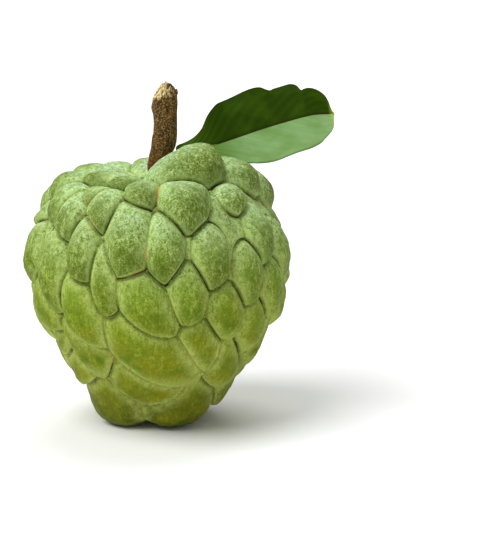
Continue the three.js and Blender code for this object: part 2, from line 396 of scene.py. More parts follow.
@dataclass(frozen=True)
class SkinFinish:
    """The fruit's skin: green scales, pale and mottled near the stem, smoother and darker at the foot."""

    foot_green: Colour = srgb(80, 82, 6)
    lower_green: Colour = srgb(120, 127, 8)
    middle_green: Colour = srgb(122, 145, 22)
    upper_green: Colour = srgb(138, 172, 64)
    bloom: Colour = srgb(198, 226, 184)
    lower_bloom: Colour = srgb(168, 182, 72)
    # a deeper green, also laid as painted shade on the scales' lower ends and under the overlapping lips
    deep_green_and_shade: Colour = srgb(68, 88, 2)
    mottle: Colour = srgb(84, 110, 2)
    pale: Colour = srgb(184, 198, 104)
    upper_pale: Colour = srgb(186, 214, 132)
    olive: Colour = srgb(134, 134, 4)
    low_dark: Colour = srgb(58, 52, 6)
    # the dark brown of the creases' marks, partly painted shadow under the lips
    crease: Colour = srgb(54, 50, 8)
    # the olive laid along every crease, partly painted shade in the hollow
    valley_and_shade: Colour = srgb(116, 130, 40)
    scar: Colour = srgb(184, 168, 92)
    patch_size: float = 6.0
    streak_size: float = 2.0
    fibre_size: float = 1.1
    speck_size: float = 0.6
    ripe_size: float = 13.0
    cork_size: float = 16.0
    gap_size: float = 5.0
    fibre_stretch: tuple[float, float, float] = (1.0, 1.0, 0.4)
    streak_relief: float = 0.4
    fibre_relief: float = 0.3
    specular: float = 0.1

    def material(self) -> bpy.types.Material:
        """Build the skin's material.

        Returns:
            The material.
        """
        s = Shading("skin")
        m = self.read(s)
        bloomed = s.times(m.high, s.band(m.along, 0.9, -0.3, 0.3, 1.0))
        light = s.mix(bloomed, self.lower_bloom, self.bloom)
        # pale is the borders' colour and also the painted highlight on the lips' rims
        pale = s.mix(s.band(m.height, 0.035, 0.1), self.pale, self.upper_pale)
        colour = self.bordered(s, m, self.ground(s, m), light, pale)
        colour = self.speckled(s, m, colour, light)
        colour = self.creased(s, m, colour, pale)
        normal = s.bump(m.streaks, self.streak_relief, 0.6)
        normal = s.bump(m.fibres, self.fibre_relief, 0.8, normal)
        return s.finish(colour, s.band(m.patches, 0.3, 0.7, 0.52, 0.64), normal, self.specular)

    def read(self, s: Shading) -> SkinMap:
        """Read what the colours are laid by.

        Args:
            s: The skin's node tree.

        Returns:
            The numbers.
        """
        height = s.height()
        edge, along, lip = (s.attribute(name) for name in ("edge", "along", "lip"))
        high, low = s.band(height, 0.045, 0.1), s.band(height, 0.055, 0.035)
        patches = s.noise(self.patch_size, 4.0, 0.6, 0.6)
        streaks = s.noise(self.streak_size, 5.0, 0.7, 0.4)
        fibres = s.noise(self.fibre_size, 4.0, 0.7, 0.3, s.stretched(self.fibre_stretch))
        specks = s.noise(self.speck_size, 2.0, 0.6)
        return SkinMap(height, edge, along, lip, high, low, patches, streaks, fibres, specks)

    def ground(self, s: Shading, m: SkinMap) -> bpy.types.NodeSocket:
        """Lay the greens: by height, by scale, with mottled and ripe middles, and each scale darker toward
        its lower tip, partly its own deeper green and partly painted shade where it curves under.

        Args:
            s: The skin's node tree.
            m: What the colours are laid by.

        Returns:
            The colour so far.
        """
        colour = s.ramp(s.band(m.height, 0.0, 0.1), ((0.0, self.foot_green), (0.09, self.lower_green),
                                                     (0.5, self.middle_green), (1.0, self.upper_green)))
        colour = s.mix(s.band(s.attribute("own"), 0.0, 1.0, 0.0, 0.35), colour, self.lower_green)
        # the mottle grows toward each scale's lower end: partly its own colour, partly painted shade there
        inner = s.times(s.band(m.edge, 0.8, 4.0), s.band(m.along, -0.7, 0.4, 0.3, 1.0))
        colour = s.mix(s.times(inner, s.band(m.patches, 0.4, 0.6, 0.0, 0.75)), colour, self.mottle)
        ripe = s.times(inner, m.low, s.band(s.noise(self.ripe_size, 2.0), 0.44, 0.6, 0.0, 0.7))
        colour = s.mix(ripe, colour, self.olive)
        # painted shade, in part: each scale darkens toward its lower tip, where it curves under and overhangs
        # the next
        tips_and_shade = s.times(s.band(m.along, -0.2, 0.95, 0.0, 0.8), s.band(m.height, 0.035, 0.07, 0.1, 1.0))
        return s.mix(tips_and_shade, colour, self.deep_green_and_shade)

    def bordered(self, s: Shading, m: SkinMap, colour: bpy.types.NodeSocket, light: bpy.types.NodeSocket,
                 pale: bpy.types.NodeSocket) -> bpy.types.NodeSocket:
        """Lay the bloom on the scales' upper ends, their pale borders, and dark patches on the feet that grow
        darker toward the ground.

        Args:
            s: The skin's node tree.
            m: What the colours are laid by.
            colour: The colour under them.
            light, pale: The colours of the bloom and of the borders.

        Returns:
            The colour so far.
        """
        bloom = s.times(m.high, s.band(m.along, 0.7, -0.9, 0.1, 1.0), s.band(m.streaks, 0.4, 0.62, 0.2, 1.0))
        colour = s.mix(bloom, colour, light)
        uneven = s.band(m.streaks, 0.35, 0.62, 0.35, 1.0)
        spread = s.sum(Sum.LARGER, s.band(m.along, 0.9, 0.1, 0.25, 1.0), m.low)
        border = s.times(s.band(m.edge, 4.6, 0.8, 0.0, 0.85), spread, uneven)
        worn = s.times(m.low, s.band(m.along, 0.4, 0.9, 0.0, 0.5))
        colour = s.mix(s.sum(Sum.LARGER, border, worn), colour, pale)
        # dark patches on the feet, strongest a few millimetres above the ground
        dark_near_ground = s.times(s.band(m.height, 0.022, 0.004), s.band(m.patches, 0.42, 0.6, 0.0, 0.42))
        return s.mix(dark_near_ground, colour, self.low_dark)

    def speckled(self, s: Shading, m: SkinMap, colour: bpy.types.NodeSocket,
                 light: bpy.types.NodeSocket) -> bpy.types.NodeSocket:
        """Lay fine light and dark fibres and specks, stronger up the fruit and in some patches.

        Args:
            s: The skin's node tree.
            m: What the colours are laid by.
            colour: The colour under them.
            light: The colour of the bloom.

        Returns:
            The colour so far.
        """
        coarse = s.times(s.band(m.height, 0.01, 0.08, 0.4, 1.0), s.band(m.patches, 0.62, 0.38, 0.45, 1.0))
        colour = s.mix(s.times(coarse, s.band(m.fibres, 0.5, 0.66, 0.0, 0.8)), colour, light)
        colour = s.mix(s.times(coarse, s.band(m.fibres, 0.5, 0.36, 0.0, 0.85)), colour, self.mottle)
        colour = s.mix(s.times(coarse, s.band(m.specks, 0.52, 0.62, 0.0, 0.45)), colour, light)
        return s.mix(s.times(coarse, s.band(m.specks, 0.48, 0.38, 0.0, 0.5)), colour, self.deep_green_and_shade)

    def creased(self, s: Shading, m: SkinMap, colour: bpy.types.NodeSocket,
                pale: bpy.types.NodeSocket) -> bpy.types.NodeSocket:
        """Lay the pale rims with their painted highlight, the painted shade under them, and the creases,
        darkened partly by their own colour and partly by painted shadow, with their corky stretches.

        Args:
            s: The skin's node tree.
            m: What the colours are laid by.
            colour: The colour under them.
            pale: The colour of the rims and of their painted highlight.

        Returns:
            The colour so far.
        """
        # painted highlight: a pale rim along the edge of each lip that overlaps the next scale, just above
        # the crease
        rim = s.times(s.band(m.edge, 0.45, 0.7), s.band(m.edge, 1.4, 0.8, 0.0, 0.6),
                      s.band(m.height, 0.04, 0.1, 1.0, 0.45), s.band(m.lip, 0.1, 0.7))
        colour = s.mix(rim, colour, pale)
        # painted shade: the scale that lies under the next one's lip is darkened beside the crease
        shade = s.times(s.band(m.lip, -0.2, -0.9), s.band(m.edge, 1.7, 0.3, 0.0, 0.5))
        colour = s.mix(shade, colour, self.deep_green_and_shade)
        # a darker olive along every crease: partly its own colour, partly painted shade in the hollow
        colour = s.mix(s.band(m.edge, 0.6, 0.1, 0.0, 0.5), colour, self.valley_and_shade)
        scarred = s.attribute("scar")
        corky = s.sum(Sum.LARGER, s.band(s.noise(self.cork_size, 2.0), 0.6, 0.68, 0.0, 0.7), scarred)
        colour = s.mix(s.times(corky, s.band(m.edge, 0.9, 0.4, 0.0, 0.85)), colour, self.scar)
        overlap = s.band(s.sum(Sum.SIZE, m.lip), 0.3, 1.0)
        broken = s.band(s.noise(self.gap_size, 2.0), 0.35, 0.55, 0.35, 0.95)
        # a thin dark brown mark where a lip overlaps the next scale: partly the crease's own colour, partly
        # painted shadow under the overhang
        crease_line_and_shadow = s.times(s.band(m.edge, 0.5, 0.12), overlap, broken, s.band(scarred, 0.3, 0.9, 1.0, 0.2))
        return s.mix(crease_line_and_shadow, colour, self.crease)


@dataclass(frozen=True)
class BarkFinish:
    """The twig: brown bark with pale pores, and torn pale wood at its end."""

    bark: Colour = srgb(110, 78, 40)
    dark: Colour = srgb(46, 32, 12)
    pore: Colour = srgb(172, 146, 86)
    wood: Colour = srgb(236, 218, 160)
    splinter: Colour = srgb(132, 100, 52)
    heel: Colour = srgb(112, 66, 36)
    fibre_size: float = 0.9
    fine_size: float = 0.6
    pore_gap: float = 1.5
    torn_size: float = 0.8
    fibre_stretch: tuple[float, float, float] = (1.0, 1.0, 0.22)
    torn_stretch: tuple[float, float, float] = (1.0, 1.0, 0.3)

    def material(self) -> bpy.types.Material:
        """Build the bark's material.

        Returns:
            The material.
        """
        s = Shading("bark")
        fibre = s.noise(self.fibre_size, 5.0, 0.75, 0.4, s.stretched(self.fibre_stretch))
        colour = s.mix(s.band(fibre, 0.38, 0.6), self.dark, self.bark)
        fine = s.noise(self.fine_size, 3.0, 0.7)
        colour = s.mix(s.band(fine, 0.53, 0.63, 0.0, 0.8), colour, self.pore)
        colour = s.mix(s.band(fine, 0.47, 0.37, 0.0, 0.7), colour, self.dark)
        colour = s.mix(s.band(s.cells(self.pore_gap), 0.2, 0.1, 0.0, 0.6), colour, self.pore)
        colour = s.mix(s.band(s.height(), 0.108, 0.099, 0.0, 0.55), colour, self.heel)
        torn = s.noise(self.torn_size, 4.0, 0.7, 0.0, s.stretched(self.torn_stretch))
        colour = s.mix(s.attribute("torn"), colour, s.mix(s.band(torn, 0.4, 0.58), self.splinter, self.wood))
        normal = s.bump(fibre, 0.6, 0.9)
        normal = s.bump(fine, 0.2, 0.7, normal)
        return s.finish(colour, 0.85, normal, 0.12)


@dataclass(frozen=True)
class LeafFinish:
    """The leaf: dark green with painted light and shade, its upper half darker and its lower half paler with
    a painted whitish reflection, and a dark midrib.
    """

    # the upper half's green is darkened as painted shade; the lower half's greens are painted as lit
    green: Colour = srgb(38, 62, 0)
    light_green_and_sheen: Colour = srgb(66, 98, 4)
    lit_lower_green: Colour = srgb(82, 120, 40)
    painted_sheen: Colour = srgb(130, 164, 108)
    rib: Colour = srgb(46, 52, 10)
    rim: Colour = srgb(22, 38, 0)
    stalk: Colour = srgb(96, 116, 44)
    tip: Colour = srgb(150, 172, 56)
    blotch_size: float = 9.0
    grain_size: float = 1.4

    def material(self) -> bpy.types.Material:
        """Build the leaf's material.

        Returns:
            The material.
        """
        s = Shading("leaf")
        side, along, vein, rib = (s.attribute(name) for name in ("side", "along", "vein", "rib"))
        blotches = s.noise(self.blotch_size, 3.0, 0.5)
        # the upper half, in painted shade, lighter toward the base partly by painted reflection and partly by
        # its own colour
        upper = s.mix(s.band(along, 0.4, 0.05, 0.0, 0.9), self.green, self.light_green_and_sheen)
        upper = s.mix(s.band(blotches, 0.45, 0.7, 0.0, 0.3), upper, self.light_green_and_sheen)
        upper = s.mix(s.band(side, 0.95, 1.0, 0.0, 0.8), upper, self.rim)
        # painted reflection: a whitish gloss on the lower half, which faces the light
        painted_shine = s.times(s.band(along, 0.24, 0.42), s.band(blotches, 0.3, 0.65, 0.45, 1.0))
        lower = s.mix(s.times(painted_shine, s.band(vein, 0.0, 1.0, 0.62, 0.85)), self.lit_lower_green, self.painted_sheen)
        # the two halves: the upper in painted shade, the lower painted as lit
        colour = s.mix(s.band(side, 0.01, -0.01), upper, lower)
        colour = s.mix(s.band(rib, 0.3, 0.8), colour, self.rib)
        colour = s.mix(s.band(s.attribute("stalk"), 0.4, 0.9), colour, self.stalk)
        colour = s.mix(s.band(s.attribute("tip"), 0.2, 1.0, 0.0, 0.7), colour, self.tip)
        normal = s.bump(s.noise(self.grain_size, 3.0, 0.5), 0.1, 0.4)
        return s.finish(colour, s.band(blotches, 0.3, 0.7, 0.4, 0.5), normal, 0.06)


@dataclass(frozen=True)
class FloorFinish:
    """The plain pale floor."""

    white: Colour = (0.94, 0.94, 0.94)

    def material(self) -> bpy.types.Material:
        """Build the floor's material."""
        s = Shading("floor")
        return s.finish(self.white, 0.6, None, 0.2)


@dataclass(frozen=True)
class Scale:
    """One scale of the skin: where it is (degrees), its half sizes, its lift (mm) and the lean of its tip."""

    azimuth: float
    polar: float
    half_width: float
    half_length: float
    lift: float
    lean: float


@dataclass(frozen=True)
class Survey:
    """What is found at each point of the fruit, with one entry for each point.

    heights holds every scale's dome, scale the one on top, along how far down that scale the point is, lip
    how much further down its scale it is than on the next (above 0 where it overlaps that one), to_crease the
    millimetres to the crease between the two, and move the step onto that crease.
    """

    heights: np.ndarray
    scale: np.ndarray
    along: np.ndarray
    lip: np.ndarray
    to_crease: np.ndarray
    move: np.ndarray


@dataclass
class Fruit:
    """The fruit: a heart-shaped body covered in low domed scales that meet in creases."""

    centre: tuple[float, float, float] = (0.0, 0.0, 58.0)
    radii: Knots = ((0, 38), (15, 41), (28, 44.5), (36, 48), (44, 51.5), (54, 52.4), (70, 52), (90, 50.8),
                    (108, 49.8), (122, 48.2), (134, 50.2), (147, 53), (156, 58), (164, 59.6), (180, 60.7))
    shoulder_azimuth: float = 78.0
    shoulder_polar: float = 23.0
    shoulder_height: float = 6.5
    shoulder_spread: float = 17.0
    crease_depth: float = 3.6
    power: float = 2.8
    tip_rise: float = 1.3
    valley_sharpness: float = 1.3
    lip_sharpness: float = 5.0
    full_lip: float = 1.2
    lip_height: float = 1.0
    lip_gap: float = 0.6
    lip_width: float = 1.1
    lip_length: float = 8.0
    tuck: float = 1.1
    tuck_length: float = 2.4
    lumps: float = 0.35
    pimples: float = 0.2
    deepest_crease: float = 4.5
    shallow_polar: float = 126.0
    shallow_spread: float = 18.0
    shallow_loss: float = 0.45
    spiral_places: int = 88
    spiral_start: float = 16.0
    spiral_half_width: float = 8.2
    spiral_half_length: float = 13.5
    closest: float = 0.62
    lean_from: float = 85.0
    lean_per_degree: float = 0.9
    most_lean: float = 28.0
    scars: Path3 = ((4, 41, 7.5), (-25, 123, 5))  # azimuth, polar angle and reach in mm
    slant: tuple[float, float, float] = (0.31, 0.87, 0.38)  # along none of the grid's own lines
    tilt_reach: float = 1.3
    step_down: float = 0.5
    calm_width: float = 2.5
    calm_share: float = 0.15
    lump_size: float = 7.0
    pimple_size: float = 2.2
    pimple_shift: float = 9.0
    socket_edge: float = 1.6
    socket_cap: float = 0.9
    socket_radius: float = 4.4
    socket_depth: float = 6.0
    grid_cuts: int = 127
    snap_rounds: int = 2
    snap_reach: float = 0.3
    on_crease: float = 0.12
    probe: float = 0.05
    least_slope: float = 0.15
    merging: float = 0.8
    finish: SkinFinish = field(default_factory=SkinFinish)

    def front_scales(self) -> list[Scale]:
        """List the front's scales from the stem down: the two big ones, the shoulder's, and so on.

        Returns:
            The scales.
        """
        crown = ((43, 19, 11.5, 11.5, 6.6, -14), (-9, 37, 7, 12.5, 1.2, 0), (-34, 27, 6, 9, 0.5, 0),
                 (-64, 27, 9, 11, 0.4, 0), (88, 34, 11, 13, 1.5, 0))
        shoulder = ((52, 46, 7, 9, -0.5, 0), (19, 41, 9.5, 16, 2, -8), (-41, 42, 7, 9, -1, 0),
                    (104, 47, 9, 12, 2, 0), (-30, 48, 7.5, 12.5, 0, 0), (-64, 48, 9, 12, 0, 0),
                    (-84, 40, 9, 12, 0.8, 0))
        upper = ((5, 65, 8, 15, 0, 0), (-13, 61, 9, 19, 0.5, 0), (-50, 54, 8, 12, 0, 0),
                 (-85, 60, 8, 10, -1.2, 0))
        widest = ((-23, 82, 6.5, 17, -0.5, 6), (-36, 68, 7, 15, 0.2, 0), (-55, 80, 9, 18, 0, 5),
                  (-80, 76, 8, 14, 0.5, 0))
        lower = ((-5, 93, 9.5, 17.5, 0.5, 34), (-37, 99, 9.5, 18, 0.4, 24), (-68, 100, 9, 14, -0.4, 8),
                 (-5, 119, 10.5, 20, 1.4, 50), (-42, 119, 9, 14, 0, 30), (-70, 118, 8, 12, -1, 15))
        feet = ((-12, 138, 10, 18, 0.5, 58), (-62, 134, 11, 10, 0, 10), (-50, 152, 14, 14, 2.4, 0),
                (22, 152, 16, 14, 1.2, 0))
        return [Scale(*row) for row in (*crown, *shoulder, *upper, *widest, *lower, *feet)]

    def on_body(self, directions: np.ndarray) -> np.ndarray:
        """Give the body's surface in each direction from its centre.

        Args:
            directions: Unit vectors.

        Returns:
            Points in millimetres.
        """
        polar = np.degrees(np.arccos(np.clip(directions[..., 2], -1, 1)))
        to_shoulder = directions @ direction_at(self.shoulder_azimuth, self.shoulder_polar)
        away = np.degrees(np.arccos(np.clip(to_shoulder, -1, 1)))
        swelling = self.shoulder_height * np.exp(-(away / self.shoulder_spread) ** 2)
        return directions * (through(self.radii, polar) + swelling)[..., None] + np.array(self.centre)

    def axes(self, scale: Scale) -> tuple[np.ndarray, np.ndarray, np.ndarray, np.ndarray]:
        """Give a scale's own axes.

        Args:
            scale: The scale.

        Returns:
            Its centre, the way across it, the way along it to its lower tip, and the way out of the fruit.
        """
        centre = self.on_body(direction_at(scale.azimuth, scale.polar))
        downhill = unit(self.on_body(direction_at(scale.azimuth, scale.polar + self.step_down)) - centre)
        sideways = direction_at(scale.azimuth + 90, 90)
        turn = math.radians(scale.lean)
        along = math.cos(turn) * downhill + math.sin(turn) * sideways
        across = math.cos(turn) * sideways - math.sin(turn) * downhill
        return centre, across, along, np.cross(across, along)

    def is_taken(self, place: np.ndarray, scales: list[Scale]) -> bool:
        """Tell whether a place on the body already lies under one of the scales.

        Args:
            place: The place.
            scales: The scales.

        Returns:
            Whether it does.
        """
        for scale in scales:
            centre, _, along, _ = self.axes(scale)
            gap = place - centre
            lengthwise = float(gap @ along)
            sideways_squared = max(0.0, float(gap @ gap) - lengthwise**2)
            if (sideways_squared / (self.spiral_half_width + scale.half_width) ** 2
                    + (lengthwise / (self.spiral_half_length + scale.half_length)) ** 2) < self.closest**2:
                return True
        return False

    def all_scales(self) -> list[Scale]:
        """List the front's scales and the others, which stand on a golden-angle spiral.

        Returns:
            The scales.
        """
        scales = self.front_scales()
        half_width, half_length = self.spiral_half_width, self.spiral_half_length
        for place in range(self.spiral_places):
            polar = math.degrees(math.acos(1 - (2 * place + 1) / self.spiral_places))
            azimuth = (place * GOLDEN_ANGLE) % 360
            lean = min(self.most_lean, max(0.0, (polar - self.lean_from) * self.lean_per_degree))
            centre = self.on_body(direction_at(azimuth, polar))
            if polar >= self.spiral_start and not self.is_taken(centre, scales):
                scales.append(Scale(azimuth, polar, half_width, half_length, 0.0, lean))
        return scales

    def domes(self, points: np.ndarray, scales: list[Scale]) -> tuple[np.ndarray, np.ndarray]:
        """Give every scale's dome at every point.

        Args:
            points: Places on the body.
            scales: The scales.

        Returns:
            The domes' heights and how far down its scale each point is, both by scale and point.
        """
        heights = np.empty((len(scales) + 1, len(points)), np.float32)
        downward = np.zeros_like(heights)
        for row, scale in enumerate(scales):
            centre, across, along, out = self.axes(scale)
            gap = points - centre
            u, v = gap @ across / scale.half_width, gap @ along / scale.half_length
            w = gap @ out / scale.half_width
            distance = np.sqrt(u * u + v * v + w * w / 2)
            from_shallow = (scale.polar - self.shallow_polar) / self.shallow_spread
            depth = self.crease_depth * (1 - self.shallow_loss * math.exp(-from_shallow**2))
            tilt = self.tip_rise * np.clip(v, -self.tilt_reach, self.tilt_reach)
            heights[row] = scale.lift + tilt - depth * distance**self.power
            turn = math.radians(scale.lean)
            downhill = v * math.cos(turn) - u * math.sin(turn)
            downward[row] = np.clip(downhill, -self.tilt_reach, self.tilt_reach)
        heights[-1] = -self.deepest_crease
        return heights, downward

    def survey(self, directions: np.ndarray, scales: list[Scale]) -> Survey:
        """Find which scale each point lies on, and how it lies to the nearest creases.

        Args:
            directions: The points' directions.
            scales: The scales.

        Returns:
            What the relief, the snapping and the material need to know.
        """
        points = self.on_body(directions)
        ways = [unit(np.cross(directions, np.array(self.slant)))]
        ways.append(np.cross(directions, ways[0]))
        heights, downward = self.domes(points, scales)
        scale = heights.argmax(axis=0)[None]
        gap = np.take_along_axis(heights, scale, 0) - heights
        slopes = []
        for way in ways:
            slope = (self.domes(points + self.probe * way, scales)[0] - heights) / self.probe
            slopes.append(np.take_along_axis(slope, scale, 0) - slope)
        steepness = np.maximum(slopes[0] ** 2 + slopes[1] ** 2, self.least_slope**2)
        distance = gap / np.sqrt(steepness)
        np.put_along_axis(distance, scale, np.inf, 0)
        nearest = distance.argmin(axis=0)[None]
        to_crease = np.take_along_axis(distance, nearest, 0)[0]
        weight = np.exp(-(distance - to_crease) / self.merging)
        others = (weight * downward).sum(0) / weight.sum(0)
        along = np.take_along_axis(downward, scale, 0)[0]
        lip = along - others
        shared = (to_crease < self.on_crease) & (lip < 0)
        along[shared] = others[shared]
        lip[shared] *= -1
        pull = np.take_along_axis(gap / steepness, nearest, 0)[0]
        move = -sum((pull * np.take_along_axis(slope, nearest, 0)[0])[:, None] * way
                    for slope, way in zip(slopes, ways))
        return Survey(heights, scale[0], along, lip, to_crease, move)

    def snapped(self, directions: np.ndarray, scales: list[Scale], edges: np.ndarray) -> np.ndarray:
        """Draw one end of each edge that crosses a crease onto it, so that the creases run unbroken.

        Args:
            directions: The grid's directions.
            scales: The scales.
            edges: The two vertices of each edge.

        Returns:
            The new directions.
        """
        found = self.survey(directions, scales)
        crossing = edges[found.scale[edges[:, 0]] != found.scale[edges[:, 1]]]
        far = found.to_crease[crossing].argmax(axis=1)
        rows = np.arange(len(crossing))
        near = found.to_crease < self.snap_reach
        near[crossing[near[crossing].all(axis=1), far[near[crossing].all(axis=1)]]] = False
        missed = ~near[crossing].any(axis=1)
        near[crossing[rows, 1 - far][missed]] = True
        return unit(self.on_body(directions) + found.move * near[:, None] - np.array(self.centre))

    def relief(self, found: Survey, points: np.ndarray) -> np.ndarray:
        """Give the skin's height over the body: domes, lips that overlap the next scale, and wrinkles.

        Args:
            found: What was found at each point.
            points: Places on the body.

        Returns:
            Heights in millimetres.
        """
        overlap = np.clip(found.lip / self.full_lip, -1, 1)
        sharpness = self.valley_sharpness + (self.lip_sharpness - self.valley_sharpness) * np.abs(overlap)
        top = found.heights.max(axis=0)
        height = top + np.log(np.exp(sharpness * (found.heights - top)).sum(0)) / sharpness
        far = found.to_crease
        lip = np.clip(far / self.lip_width, 0, 1) * np.exp(-far / self.lip_length)
        height += self.lip_height * np.clip(overlap, 0, 1) * lip
        undercut = np.abs(overlap) * np.clip(1 - far / self.lip_width, 0, 1)
        height -= self.lip_gap * undercut
        height -= self.tuck * np.where(overlap > 0, undercut, -overlap * np.exp(-far / self.tuck_length))
        inside = np.clip(far / self.calm_width, self.calm_share, 1)
        rough = self.lumps * grain(points, self.lump_size)
        rough += self.pimples * grain(points, self.pimple_size, shift=self.pimple_shift)
        return height + inside * rough

    def scarring(self, points: np.ndarray) -> np.ndarray:
        """Give how corky the creases are at each point, 0 to 1.

        Args:
            points: Places on the fruit.

        Returns:
            How corky, for each point.
        """
        marks = []
        for azimuth, polar, reach in self.scars:
            away = np.linalg.norm(points - self.on_body(direction_at(azimuth, polar)), axis=1)
            marks.append(np.exp(-(away / reach) ** 4))
        return np.max(marks, axis=0)

    def crease_edges(self, mesh: bpy.types.Mesh, found: Survey) -> None:
        """Join the vertices on the creases across their faces, so that each crease is a row of edges.

        Args:
            mesh: The fruit's mesh.
            found: What was found at each vertex.
        """
        maker = bmesh.new()
        maker.from_mesh(mesh)
        creased = [vertex for vertex, gap in zip(maker.verts, found.to_crease) if gap < self.on_crease]
        bmesh.ops.connect_verts(maker, verts=creased)
        maker.to_mesh(mesh)
        maker.free()

    def build(self) -> bpy.types.Object:
        """Build the fruit's mesh, with what its material reads.

        Returns:
            The fruit.
        """
        maker = bmesh.new()
        bmesh.ops.create_cube(maker, size=2.0)
        bmesh.ops.subdivide_edges(maker, edges=maker.edges[:], cuts=self.grid_cuts, use_grid_fill=True)
        piece = new_object("fruit_skin", maker)
        mesh = piece.data
        grid = np.empty(len(mesh.vertices) * 3)
        mesh.vertices.foreach_get("co", grid)
        edges = np.empty(len(mesh.edges) * 2, int)
        mesh.edges.foreach_get("vertices", edges)
        scales = self.all_scales()
        directions = unit(np.tan(grid.reshape(-1, 3) * math.pi / 4))
        for _ in range(self.snap_rounds):
            directions = self.snapped(directions, scales, edges.reshape(-1, 2))
        found = self.survey(directions, scales)
        base = self.on_body(directions)
        points = base + directions * self.relief(found, base)[:, None]
        from_stem = np.hypot(points[:, 0], points[:, 1]) / self.socket_radius
        dent = self.socket_depth * np.clip(self.socket_edge - from_stem, 0, 1)
        dent *= directions[:, 2] > self.socket_cap
        points -= directions * dent[:, None]
        points[:, 2] = np.maximum(points[:, 2], 0.0)
        mesh.vertices.foreach_set("co", (points * MM).ravel())
        self.crease_edges(mesh, found)
        own = np.random.default_rng(SEED).random(len(scales) + 1)
        store(mesh, "edge", found.to_crease)
        store(mesh, "along", found.along)
        store(mesh, "lip", found.lip)
        store(mesh, "scar", self.scarring(points))
        store(mesh, "own", own[found.scale])
        mesh.materials.append(self.finish.material())
        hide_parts("fruit")
        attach(piece, "root")
        return piece


@dataclass
class Stem:
    """The woody twig, with bark on its side and a torn end."""

    path: Path3 = ((0, 0, 93.5), (0.3, 0, 99), (2.1, 0, 106), (3, 0, 112), (3.2, 0, 121), (3.3, 0, 127))
    radii: Knots = ((0, 3.5), (0.17, 3.7), (0.36, 4.5), (0.55, 4.5), (0.8, 4.6), (1, 4.8))
    sides: int = 72
    rings: int = 110
    cap_rings: int = 12
    cap_share: float = 0.95
    torn_peak: float = 3.6
    torn_fall: float = 1.5
    torn_slope: float = 1.2
    splinters: float = 1.5
    bare_share: float = 0.02
    bare_side: float = 0.6
    bare_contrast: float = 3.0
    ridges: float = 0.45
    ridge_turns: float = 2.2
    ridge_rises: float = 5.0
    fibres_across: float = 5.0
    knob: float = 0.8
    knob_at: float = 0.8
    knob_length: float = 0.05
    knob_width: float = 0.5
    torn_from: float = 0.9
    bark_end: float = 0.96
    bark_fade: float = 0.03
    finish: BarkFinish = field(default_factory=BarkFinish)

    def build(self) -> bpy.types.Object:
        """Build the stem: a round bar bent along the path, with bark ridges and splinters.

        Returns:
            The stem.
        """
        maker = bmesh.new()
        bmesh.ops.create_cone(maker, cap_ends=True, segments=self.sides, radius1=1.0, radius2=1.0, depth=1.0)
        upright = [e for e in maker.edges if abs(e.verts[0].co.z - e.verts[1].co.z) > 0.5]
        bmesh.ops.subdivide_edges(maker, edges=upright, cuts=self.rings)
        maker.faces.ensure_lookup_table()
        cap = [max(maker.faces, key=lambda face: (len(face.verts), face.calc_center_median().z))]
        ring = self.cap_share / self.cap_rings
        for _ in range(self.cap_rings):
            bmesh.ops.inset_region(maker, faces=cap, thickness=ring, use_even_offset=False)
        bmesh.ops.poke(maker, faces=cap)
        torn = self.bend(maker)
        piece = new_object("stem_twig", maker)
        store(piece.data, "torn", torn)
        piece.data.materials.append(self.finish.material())
        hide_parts("stem")
        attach(piece, "root")
        return piece

    def middle(self, t: float) -> Vector:
        """Give the point of the path at t, from 0 at its foot to 1 at its end."""
        stops = np.linspace(0, 1, len(self.path))
        return Vector([float(through(tuple(zip(stops, axis)), t)) for axis in zip(*self.path)])

    def bend(self, maker: bmesh.types.BMesh) -> np.ndarray:
        """Lay the straight bar along the path and roughen it.

        Args:
            maker: The straight bar, of radius 1 and from -0.5 to 0.5 in height.

        Returns:
            For each vertex, 1 on the torn end and 0 on the bark.
        """
        torn = []
        for vertex in maker.verts:
            t = vertex.co.z + 0.5
            angle = math.atan2(vertex.co.y, vertex.co.x)
            out = math.hypot(vertex.co.x, vertex.co.y)
            around = Vector((math.cos(angle), math.sin(angle), 0))
            climb = Vector((0, 0, t * self.ridge_rises))
            ridges = noise.fractal(around * self.ridge_turns + climb, FADE, FINER, 3) * self.ridges
            from_knob = ((t - self.knob_at) / self.knob_length) ** 2
            from_knob += ((abs(angle) - math.pi) / self.knob_width) ** 2
            radius = float(through(self.radii, t)) + ridges + self.knob * math.exp(-from_knob)
            across = Vector((vertex.co.x * self.fibres_across, vertex.co.y * self.fibres_across, 3.0))
            fibre = noise.fractal(across, FADE, FINER, 3)
            rim = math.cos(angle) * self.torn_slope - self.torn_fall
            ragged = rim * out**2 + self.torn_peak * (1 - out**2) + fibre * self.splinters
            rise = ragged * min(1.0, max(0.0, (t - self.torn_from) / (1 - self.torn_from)))
            bare = self.bare_share - math.cos(angle - self.bare_side) * out + fibre
            place = self.middle(t) + around * out * radius + Vector((0, 0, rise))
            vertex.co = place * MM
            beyond = min(1.0, max(0.0, (t - self.bark_end) / self.bark_fade))
            torn.append(beyond * min(1.0, max(0.0, bare * self.bare_contrast)))
        return np.array(torn)


